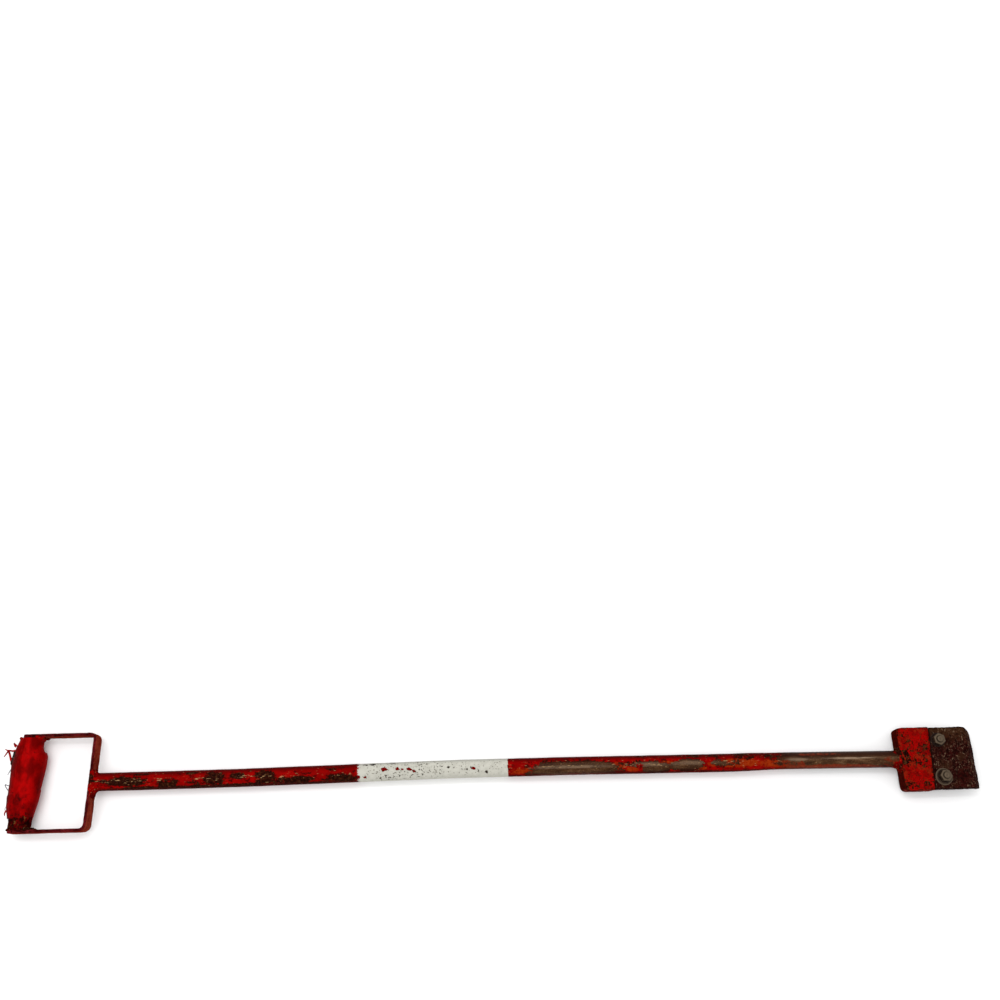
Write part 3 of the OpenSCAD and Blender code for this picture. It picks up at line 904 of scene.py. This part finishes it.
def make_yoke_weld(material):
    """Hollow fillets beside the tube and lumps over the strap's top and bottom edges."""
    rng = np.random.default_rng(7)
    y_middle = SHAFT_STATIONS[0][1] * MM
    places = []
    for side in (-1, 1):
        for y in np.arange(-10.5, 11, 2.1) * MM:
            on_edge = AXIS_Z + side * (STRAP_HALF - 0.2 * MM)
            over_edge = AXIS_Z + side * (STRAP_HALF + 0.3 * MM)
            places.append(blob(rng, X_BACK - 1.8 * MM, 0.5, y, on_edge, 1.5, 2.1))
            places.append(blob(rng, X_BACK + 1.2 * MM, 0.6, y, over_edge, 1.4, 1.9))
    reach = (9.4 * MM, 5.6 * MM)
    fillet = fillet_skin(X_BACK, 1, TUBE_R - 0.1 * MM, reach, 1.0, STRAP_HALF, y_middle)
    piece = weld_bead("yoke_weld", "yoke_paint", material, places, 17, [fillet])
    set_scar(piece, X_BACK, YOKE_SCARS, 0.0)


def make_head_weld(material):
    """A fillet round the shank and lumps over the block's top and bottom edges."""
    rng = np.random.default_rng(19)
    block_half = (BLOCK_HIGH.z - BLOCK_LOW.z) / 2
    places = []
    for y in np.arange(-10, 10.1, 2.0) * MM:
        places.append(blob(rng, X_HEEL, 0.8, HEEL_Y + y, BLOCK_TOP - 1.1 * MM, 1.5, 2.1))
        places.append(blob(rng, X_HEEL, 0.6, HEEL_Y + y * 0.8, BLOCK_LOW.z + 1.9 * MM, 1.5, 1.8))
    reach = (7.6 * MM, 4.6 * MM)
    fillet = fillet_skin(X_HEEL, -1, SHANK_R - 0.1 * MM, reach, 1.3, block_half - 1.2 * MM, HEEL_Y)
    piece = weld_bead("head_weld", "head_paint", material, places, 23, [fillet])
    set_scar(piece, X_HEEL, HEAD_SCARS, 0.12)


def make_grip_weld(side, node, material):
    """Lumps where the grip pipe meets an arm, heaviest towards the head: side is +1 at the far arm."""
    y = PIPE_HIGH.y * side
    rng = np.random.default_rng(31 + side)
    count = 58
    places = []
    for i in range(count):
        turn = TURN * i / count
        heavy = max(0.0, math.cos(turn))
        radius = PIPE_R + (0.2 + 1.2 * heavy) * MM
        z = radius * math.sin(turn)
        if abs(z) < STRAP_HALF + 0.8 * MM:
            bead = rng.uniform(1.2, 1.8) * MM + 1.3 * MM * heavy
            places.append((GRIP_X + radius * math.cos(turn), y - side * 0.6 * MM, AXIS_Z + z, bead))
            if abs(z) < STRAP_HALF - 1.2 * MM and heavy > 0.6:
                places.append((GRIP_X + radius + 3.0 * MM, y, AXIS_Z + z, bead * 0.75))
    piece = weld_bead(node, "yoke_paint", material, places, 37 + side, voxel=0.5 * MM)
    set_scar(piece, 0.0, [], 0.75 if side < 0 else 0.05)


# ---- head block, blade and yoke: worn copies of their CAD shapes ----

# Bare places on the block's top: from the heel, from the middle, half length, half width, strength
BLOCK_SCARS = [
    (6, 2, 7, 13, 0.60), (8, 30, 7, 8, 0.40), (14, 20, 6, 6, 0.46), (12, 11, 7, 5, 0.48), (26, 9, 6, 8, 0.52),
    (32, 13, 5, 6, 0.54), (20, -5, 9, 5, 0.48), (29, -8, 6, 5, 0.44), (28, -31, 6, 4, 0.56),
    (8, -32, 12, 5, 0.48), (30, -1, 4, 12, 0.38),
]


def worn_copy(node, slot, material, voxel, lumps, seed, nick):
    """A node's shape with rounded, nicked edges and lumps of (size, height), all in millimetres."""
    piece = remeshed(node + "_worn", [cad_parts[node]], voxel * MM)
    roughen(piece, [(size * MM, height * MM) for size, height in lumps], seed, nick * MM)
    return finish_piece(piece, material, slot, node)


def make_block(material):
    """The head block, with its bare places."""
    lumps = [(9, 0.18), (3, 0.12), (1.5, 0.05)]
    piece = worn_copy("head_block", "head_paint", material, 0.9, lumps, 43, 0.3)
    co = coordinates(piece.data)
    scar = np.full(len(co), 0.22)
    for along, across, half_length, half_width, strength in BLOCK_SCARS:
        distance = ((co[:, 0] - X_HEEL) / MM - along) ** 2 / half_length ** 2
        distance += (co[:, 1] / MM - across) ** 2 / half_width ** 2
        scar = np.maximum(scar, strength * (1 - smooth_step(distance, 0.2, 1.6)))
    set_attribute(piece.data, "scar", scar)


def make_blade(material):
    lumps = [(12, 0.25), (3.5, 0.22), (1.4, 0.10)]
    worn_copy("blade", "rusty_steel", material, 0.75, lumps, 47, 0.5)


def make_strap(material):
    worn_copy("yoke_strap", "yoke_paint", material, 0.8, [(16, 0.14), (3, 0.07)], 53, 0.35)


def make_pipe(material):
    worn_copy("grip_pipe", "yoke_paint", material, 0.9, [(8, 0.16), (2.5, 0.10)], 59, 0.3)


# ---- bolts, nuts and washers ----

HEX_SEGMENTS = 72
HEX_AF = 12.7 * MM               # bolt head and nut across flats
BOLT_HEAD = 5.3 * MM
THREAD_R = 3.9 * MM
THREAD_DEPTH = 0.42 * MM
THREAD_PITCH = 1.411 * MM
NUT_BORE_R = 3.97 * MM
WASHER_BORE_R = 4.35 * MM
BIG_BORE_R = 5.15 * MM           # of a washer whose outer radius is over BIG_WASHER_R
BIG_WASHER_R = 9.5 * MM
HEX_ANGLES = np.arange(HEX_SEGMENTS) * TURN / HEX_SEGMENTS


def foot_centre(node):
    """The middle of a node's underside as (x, y, z), and the node's height."""
    low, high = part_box(node)
    return ((low.x + high.x) / 2, (low.y + high.y) / 2, low.z), high.z - low.z


def lathe(name, centre, rows):
    """A closed skin: rows are (radius at each angle, height), from the inner foot round to the inner top."""
    points = []
    for radius, height in rows:
        ring = np.broadcast_to(radius, HEX_ANGLES.shape)
        z = np.broadcast_to(height, HEX_ANGLES.shape)
        x = centre[0] + ring * np.cos(HEX_ANGLES)
        y = centre[1] + ring * np.sin(HEX_ANGLES)
        points.append(np.column_stack([x, y, centre[2] + z]))
    return make_object(name, np.vstack(points), ring_faces(len(rows), HEX_SEGMENTS, turned=True))


def hex_rows(height, turn, inner, steps):
    """Rows of a chamfered hexagon from its foot to its top edge."""
    sector = TURN / 6
    folded = (HEX_ANGLES - turn + sector / 2) % sector - sector / 2
    sides = HEX_AF / 2 / np.cos(folded)
    chamfer_r = HEX_AF / 2 * 0.97
    chamfer_slope = math.tan(math.radians(30))
    rows = [(inner, 0.0), (HEX_AF / 2 * 0.9, 0.0)]
    for level in np.linspace(0, height, steps):
        cone_top = chamfer_r + (height - level) / chamfer_slope
        cone_foot = chamfer_r + level / chamfer_slope
        rows.append((np.minimum(sides, np.minimum(cone_top, cone_foot)), level))
    return rows


def wear_hardware(piece, seed, amount, grime_and_shade, rubbed=0.0):
    """Slightly uneven surfaces, brighter outer edges and a general amount of grime, with any painted shade
    passed in.
    """
    mesh = piece.data
    co = coordinates(mesh)
    dents = amount * fractal_noise(co, 1.6 * MM, seed, octaves=2)
    set_coordinates(mesh, co + normals(mesh) * dents[:, None])
    set_attribute(mesh, "wear", np.maximum(edge_wear(mesh, 0.3 * MM), rubbed))
    set_attribute(mesh, "grime_and_shade", np.full(len(co), grime_and_shade))


def make_nut(node, turn, material):
    """A nut with chamfered corners and a countersunk bore."""
    centre, height = foot_centre(node)
    rows = hex_rows(height, turn, NUT_BORE_R, 13)
    rows.append((NUT_BORE_R + 0.9 * MM, height))
    rows.append((NUT_BORE_R + 0.5 * MM, height - 0.1 * MM))
    rows.append((NUT_BORE_R, height - 0.6 * MM))
    piece = lathe(node + "_worn", centre, rows)
    wear_hardware(piece, 67, 0.07 * MM, grime_and_shade=0.22)
    finish_piece(piece, material, "fastener_steel", node)


def make_bolt(node, turn, material):
    """A hexagon bolt from beneath, with a rolled thread."""
    centre, end = foot_centre(node)
    centre_r = 0.05 * MM
    rows = [(centre_r, 0.0)]
    rows += hex_rows(BOLT_HEAD, turn, 1.5 * MM, 9)
    rows.append((THREAD_R, BOLT_HEAD))
    for level in np.arange(BOLT_HEAD + 0.2 * MM, end - 0.5 * MM, THREAD_PITCH / 8):
        wave = np.abs(((level / THREAD_PITCH - HEX_ANGLES / TURN) % 1.0) * 2 - 1)
        worn_away = 0.2 * THREAD_DEPTH if level > end - 1.0 * MM else 0.0
        rows.append((THREAD_R - THREAD_DEPTH * wave - worn_away, level))
    rows.append((THREAD_R - 0.5 * MM, end - 0.35 * MM))
    rows.append((THREAD_R - 1.1 * MM, end))
    rows.append((centre_r, end))
    piece = lathe(node + "_worn", centre, rows)
    wear_hardware(piece, 71, 0.04 * MM, grime_and_shade=0.22)
    sit_on_floor(piece)
    finish_piece(piece, material, "fastener_steel", node)


def make_washer(node, material, grime_and_shade, nut=None, rim=0.0):
    """A plain washer, with painted shade round the nut that sits on it; rim says how rubbed its edge is."""
    centre, height = foot_centre(node)
    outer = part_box(node)[1].x - centre[0]
    bore = BIG_BORE_R if outer > BIG_WASHER_R else WASHER_BORE_R
    edge = 0.3 * MM
    rows = [(bore, edge), (bore + edge, 0.0), ((bore + outer) / 2, 0.0), (outer - edge, 0.0), (outer, edge)]
    rows += [(outer, height / 2), (outer, height - edge)]
    rows += [(radius, height) for radius in np.linspace(outer - edge, bore + edge, 9)]
    rows.append((bore, height - edge))
    piece = lathe(node + "_worn", centre, rows)
    co = coordinates(piece.data)
    # Painted shade: a darker ring round the foot of the nut.
    if nut is not None:
        nut_centre = foot_centre(nut)[0]
        from_nut = np.hypot(co[:, 0] - nut_centre[0], co[:, 1] - nut_centre[1])
        grime_and_shade = grime_and_shade + 0.45 * (1 - smooth_step(from_nut, 7.2 * MM, 8.8 * MM))
    from_middle = np.hypot(co[:, 0] - centre[0], co[:, 1] - centre[1])
    rubbed = rim * smooth_step(from_middle, outer - 2.2 * MM, outer - 0.9 * MM)
    wear_hardware(piece, 73, 0.05 * MM, grime_and_shade, rubbed)
    finish_piece(piece, material, "fastener_steel", node)


# ---- grip: tape over padding ----

# The wrap's outline seen from above: (y, handle side x, head side x) from the grip's middle, millimetres
WRAP_OUTLINE = [
    (-46, -16.2, 12.2), (-30, -19.0, 15.8), (-18, -20.0, 18.2), (0, -18.9, 20.0), (20, -20.3, 21.3),
    (33, -19.1, 21.4), (37, -18.7, 20.0), (41, -18.2, 16.6), (46, -17.0, 15.4), (51, -14.8, 15.3),
    (55.4, -13.2, 18.4),
]


def sleeve(name, outline, levels, inset, thickness, segments):
    """An oval sleeve round the grip pipe, with which of its vertices are its outer skin."""
    angle = np.arange(segments) * TURN / segments
    half_height = (TAPE_HIGH.z - TAPE_LOW.z) / 2 - 0.3 * MM
    rings = [(level, inset) for level in levels]
    rings += [(level, inset + thickness) for level in levels[::-4]]
    points = []
    for level, depth in rings:
        left = np.interp(level, outline[:, 0], outline[:, 1]) + depth
        right = np.interp(level, outline[:, 0], outline[:, 2]) - depth
        middle = (left + right) / 2
        half_width = (right - left) / 2
        across = np.cos(angle) * half_width
        taper = 1 - 0.12 * smooth_step(abs(level - 4 * MM), 34 * MM, 50 * MM)
        tilt = -0.28 * across * smooth_step(-level, 20 * MM, 44 * MM)
        upright = np.sign(np.sin(angle)) * np.abs(np.sin(angle)) ** 0.9
        points.append(np.column_stack([
            GRIP_X + middle + across, level + tilt, AXIS_Z + upright * (half_height * taper - depth)
        ]))
    outer = np.arange(len(rings) * segments) < len(levels) * segments
    return make_object(name, np.vstack(points), ring_faces(len(rings), segments)), outer


def make_tape(material):
    """One skin of wound tape with soft lumps, lapped edges and tucked ends."""
    outline = np.array(WRAP_OUTLINE) * MM
    levels = np.linspace(outline[0, 0], outline[-1, 0], 130)
    piece, outer = sleeve("grip_tape_wound", outline, levels, 0.0, 1.9 * MM, 160)
    shape_tape(piece, outer)
    finish_piece(piece, material, "red_tape", "grip_tape")


def shape_tape(piece, outer):
    """Lapped turns, folds and a torn end; then the grime and the painted shade that go with them."""
    mesh = piece.data
    co = coordinates(mesh)
    turn = np.arctan2(co[:, 2] - AXIS_Z, co[:, 0] - GRIP_X)
    # Lapped edges: the tape climbs in long turns, and each turn's edge stands a little proud.
    pitch = 46 * MM
    climb = (co[:, 1] - 38 * MM + turn / TURN * 14 * MM) / pitch
    lap = climb - np.floor(climb)
    step = 0.7 * MM * smooth_step(lap, 0.0, 0.96) * (1 - smooth_step(lap, 0.975, 1.0))
    folds = fractal_noise(co * np.array([1.0, 0.45, 1.0]), 9 * MM, 101, octaves=3)
    lumps = fractal_noise(co, 22 * MM, 103, octaves=2)
    low_end = smooth_step(-co[:, 1], 26 * MM, 44 * MM)
    creases = np.abs(fractal_noise(co * np.array([1.0, 0.25, 1.0]), 5 * MM, 107, octaves=2))
    move = step - 0.5 * MM + 0.40 * MM * folds + 0.45 * MM * lumps - low_end * 0.8 * MM * creases
    move = np.where(outer, move, -0.2 * MM)
    co = co + normals(mesh) * move[:, None]
    # The near end is torn off unevenly.
    torn = 2.4 * MM * fractal_noise(co * np.array([1.0, 0.0, 1.0]), 7 * MM, 109, octaves=3)
    co[:, 1] += torn * smooth_step(-co[:, 1], 40 * MM, 46 * MM)
    set_coordinates(mesh, co)
    sit_on_floor(piece)
    x = (co[:, 0] - GRIP_X) / MM
    y = co[:, 1] / MM
    left = 1 - smooth_step(x, -20, 1)
    right = smooth_step(x, 9, 20)
    blotch = np.exp(-((x - 2) / 11) ** 2 - ((y + 22) / 11) ** 2)
    crease = np.exp(-((x - 12.5) / 1.6) ** 2) * smooth_step(y, 22, 27) * (1 - smooth_step(y, 40, 44))
    # Grime at the blotch and the near end; the left flank and the fold line add painted shade; the tape is
    # also darker just past each lapped edge.
    grime_and_shade = 0.12 + 0.12 * left + 0.30 * blotch + 0.30 * low_end + 0.12 * crease
    grime_and_shade += 0.20 * (1 - smooth_step(lap, 0.0, 0.04))
    set_attribute(mesh, "grime_and_shade", np.where(outer, grime_and_shade, 1.0))
    # Painted shade on the flanks, strongest on the left.
    set_attribute(mesh, "shade", 0.80 * left + 0.35 * right)


def make_padding(material):
    """The pad under the tape: it shows as a dark lip on the handle side and at the near end."""
    outline = np.array(WRAP_OUTLINE) * MM
    levels = np.linspace(-48 * MM, 50 * MM, 70)
    piece = sleeve("grip_padding_cloth", outline, levels, 2.4 * MM, 2.0 * MM, 100)[0]
    co = coordinates(piece.data)
    lip = smooth_step(co[:, 1], 18 * MM, 25 * MM) * (1 - smooth_step(co[:, 1], 38 * MM, 43 * MM))
    left = 1 - smooth_step(co[:, 0] - GRIP_X, -17 * MM, -9 * MM)
    high = smooth_step(np.abs(co[:, 2] - AXIS_Z - 5 * MM), 3 * MM, 12 * MM)
    co[:, 0] -= 4.4 * MM * lip * left * (1 - high)
    co += normals(piece.data) * (0.3 * MM * fractal_noise(co, 5 * MM, 83, octaves=3))[:, None]
    set_coordinates(piece.data, co)
    sit_on_floor(piece)
    finish_piece(piece, material, "padding_cloth", "grip_padding")


# ---- torn ends ----

# (distance past the wrap, y, height over the axis, width) from root to tip, millimetres
TAPE_STRANDS = [
    [(-1.5, 41, 0, 2.6), (2, 40.6, 0.8, 1.9), (6, 41.2, 1.2, 1.6), (9.5, 41.6, 1.0, 1.3),
     (12.6, 43.4, 0.6, 0.5)],
    [(-1.5, 23, 0.5, 2.4), (1.5, 27.5, 1.4, 2.2), (3.8, 33, 1.8, 2.0), (6.2, 38.6, 1.6, 2.0),
     (8.4, 39.8, 1.0, 2.1), (10.6, 37, 0.4, 1.9), (12.8, 33.6, 0.2, 1.1)],
    [(-1.5, 46, 1, 3.0), (0.6, 48.2, 1.4, 2.6), (2.4, 50.4, 1.2, 1.8)],
    [(-1.0, -32, 0, 2.2), (0.6, -35, 0.6, 1.5), (0.4, -38.5, 0.4, 0.6)],
]
PAD_THREADS = [
    [(-1.5, 20.5, 0.5, 0.9), (0.8, 17.8, 0.9, 0.8), (2.6, 14.6, 0.8, 0.7), (4.6, 11, 0.3, 0.4)],
    [(-1.5, -3, 0, 0.8), (2.5, -1.6, 0.8, 0.8), (5.6, -0.9, 0.6, 0.7), (3.8, -4.4, 0.3, 0.7),
     (0.2, -8.4, 0, 0.7), (-1.5, -9.5, 0, 0.6)],
    [(-1.0, -27, 0, 0.6), (1.2, -29.5, 0.5, 0.5), (0.8, -32, 0.2, 0.3)],
]


def smooth_path(points, steps=7):
    """A Catmull-Rom curve through points of any dimension."""
    p = np.array(points, float)
    p = np.vstack([2 * p[0] - p[1], p, 2 * p[-1] - p[-2]])
    out = []
    for i in range(1, len(p) - 2):
        for t in np.linspace(0, 1, steps, endpoint=False):
            a, b, c, d = p[i - 1 : i + 3]
            out.append(0.5 * (2 * b + (c - a) * t + (2 * a - 5 * b + 4 * c - d) * t ** 2
                              + (3 * b - a - 3 * c + d) * t ** 3))
    out.append(p[-2])
    return np.array(out)


def ribbon(path, thickness, wrap_left, twist):
    """Vertices and faces of a flat torn strip along a path."""
    line = smooth_path(path)
    middle = np.column_stack([wrap_left - line[:, 0] * MM, line[:, 1] * MM, AXIS_Z + line[:, 2] * MM])
    ahead = np.gradient(middle, axis=0)
    ahead /= np.linalg.norm(ahead, axis=1)[:, None]
    side = np.cross(ahead, (0, 0, 1))
    side /= np.linalg.norm(side, axis=1)[:, None]
    up = np.cross(side, ahead)
    roll = twist * np.linspace(0, 1, len(middle))[:, None]
    across = side * np.cos(roll) + up * np.sin(roll)
    out = up * np.cos(roll) - side * np.sin(roll)
    half = line[:, 3:4] * MM * 0.62
    corners = []
    for along, over in ((1, 0.5), (0.2, 0.75), (-1, 0.5), (-1, -0.5), (-0.2, -0.75), (1, -0.5)):
        corners.append(across * half * along + out * thickness * over)
    points = np.stack([middle + corner for corner in corners], axis=1).reshape(-1, 3)
    sides = len(corners)
    foot = tuple(range(sides))[::-1]
    tip = tuple((len(middle) - 1) * sides + j for j in range(sides))
    return points, [foot, *ring_faces(len(middle), sides, closed=False, turned=True), tip]


def make_strands(name, slot, node, material, paths, thickness):
    """Torn strips in one piece, each twisted the other way from the one before."""
    points = []
    faces = []
    start = 0
    for number, path in enumerate(paths):
        more, skin = ribbon(path, thickness, TAPE_LOW.x, 0.7 * (-1) ** number)
        points.append(more)
        faces += [tuple(v + start for v in face) for face in skin]
        start += len(more)
    piece = make_object(name, np.vstack(points), faces)
    mesh = bmesh.new()
    mesh.from_mesh(piece.data)
    bmesh.ops.recalc_face_normals(mesh, faces=mesh.faces)
    mesh.to_mesh(piece.data)
    mesh.free()
    set_attribute(piece.data, "grime_and_shade", np.full(len(piece.data.vertices), 0.30))
    finish_piece(piece, material, slot, node)


# ---- the whole scene ----

def build():
    make_camera()
    make_studio()
    shank = shaft_surface("worn_steel")
    weld = weld_material()
    steel = hardware_material()
    tape = tape_material()
    pad = cloth_material("padding_cloth", srgb(18, 10, 9), srgb(58, 44, 38))
    thread = cloth_material("grey_thread", srgb(70, 70, 74), srgb(120, 122, 128))
    make_tube(shaft_surface("shaft_paint"))
    make_shank(shank)
    make_joint_weld(shank)
    make_block(head_material())
    make_blade(blade_material())
    make_head_weld(weld)
    make_strap(yoke_material())
    make_yoke_weld(weld)
    make_pipe(pipe_material())
    make_grip_weld(1, "grip_weld_far", weld)
    make_grip_weld(-1, "grip_weld_near", weld)
    make_tape(tape)
    make_padding(pad)
    make_strands("tape_strands_torn", "red_tape", "tape_strands", tape, TAPE_STRANDS, 0.6 * MM)
    make_strands("padding_threads_loose", "padding_cloth", "padding_threads", thread, PAD_THREADS, 0.5 * MM)
    for side, turn in (("far", 0.12), ("near", 0.45)):
        make_bolt("blade_bolt_" + side, turn, steel)
        make_nut("blade_nut_" + side, turn, steel)
        make_washer("bolt_washer_" + side, steel, 0.35)
    make_washer("nut_washer_far", steel, 0.62, "blade_nut_far")
    make_washer("nut_washer_near", steel, 0.20, "blade_nut_near", rim=0.6)


build()
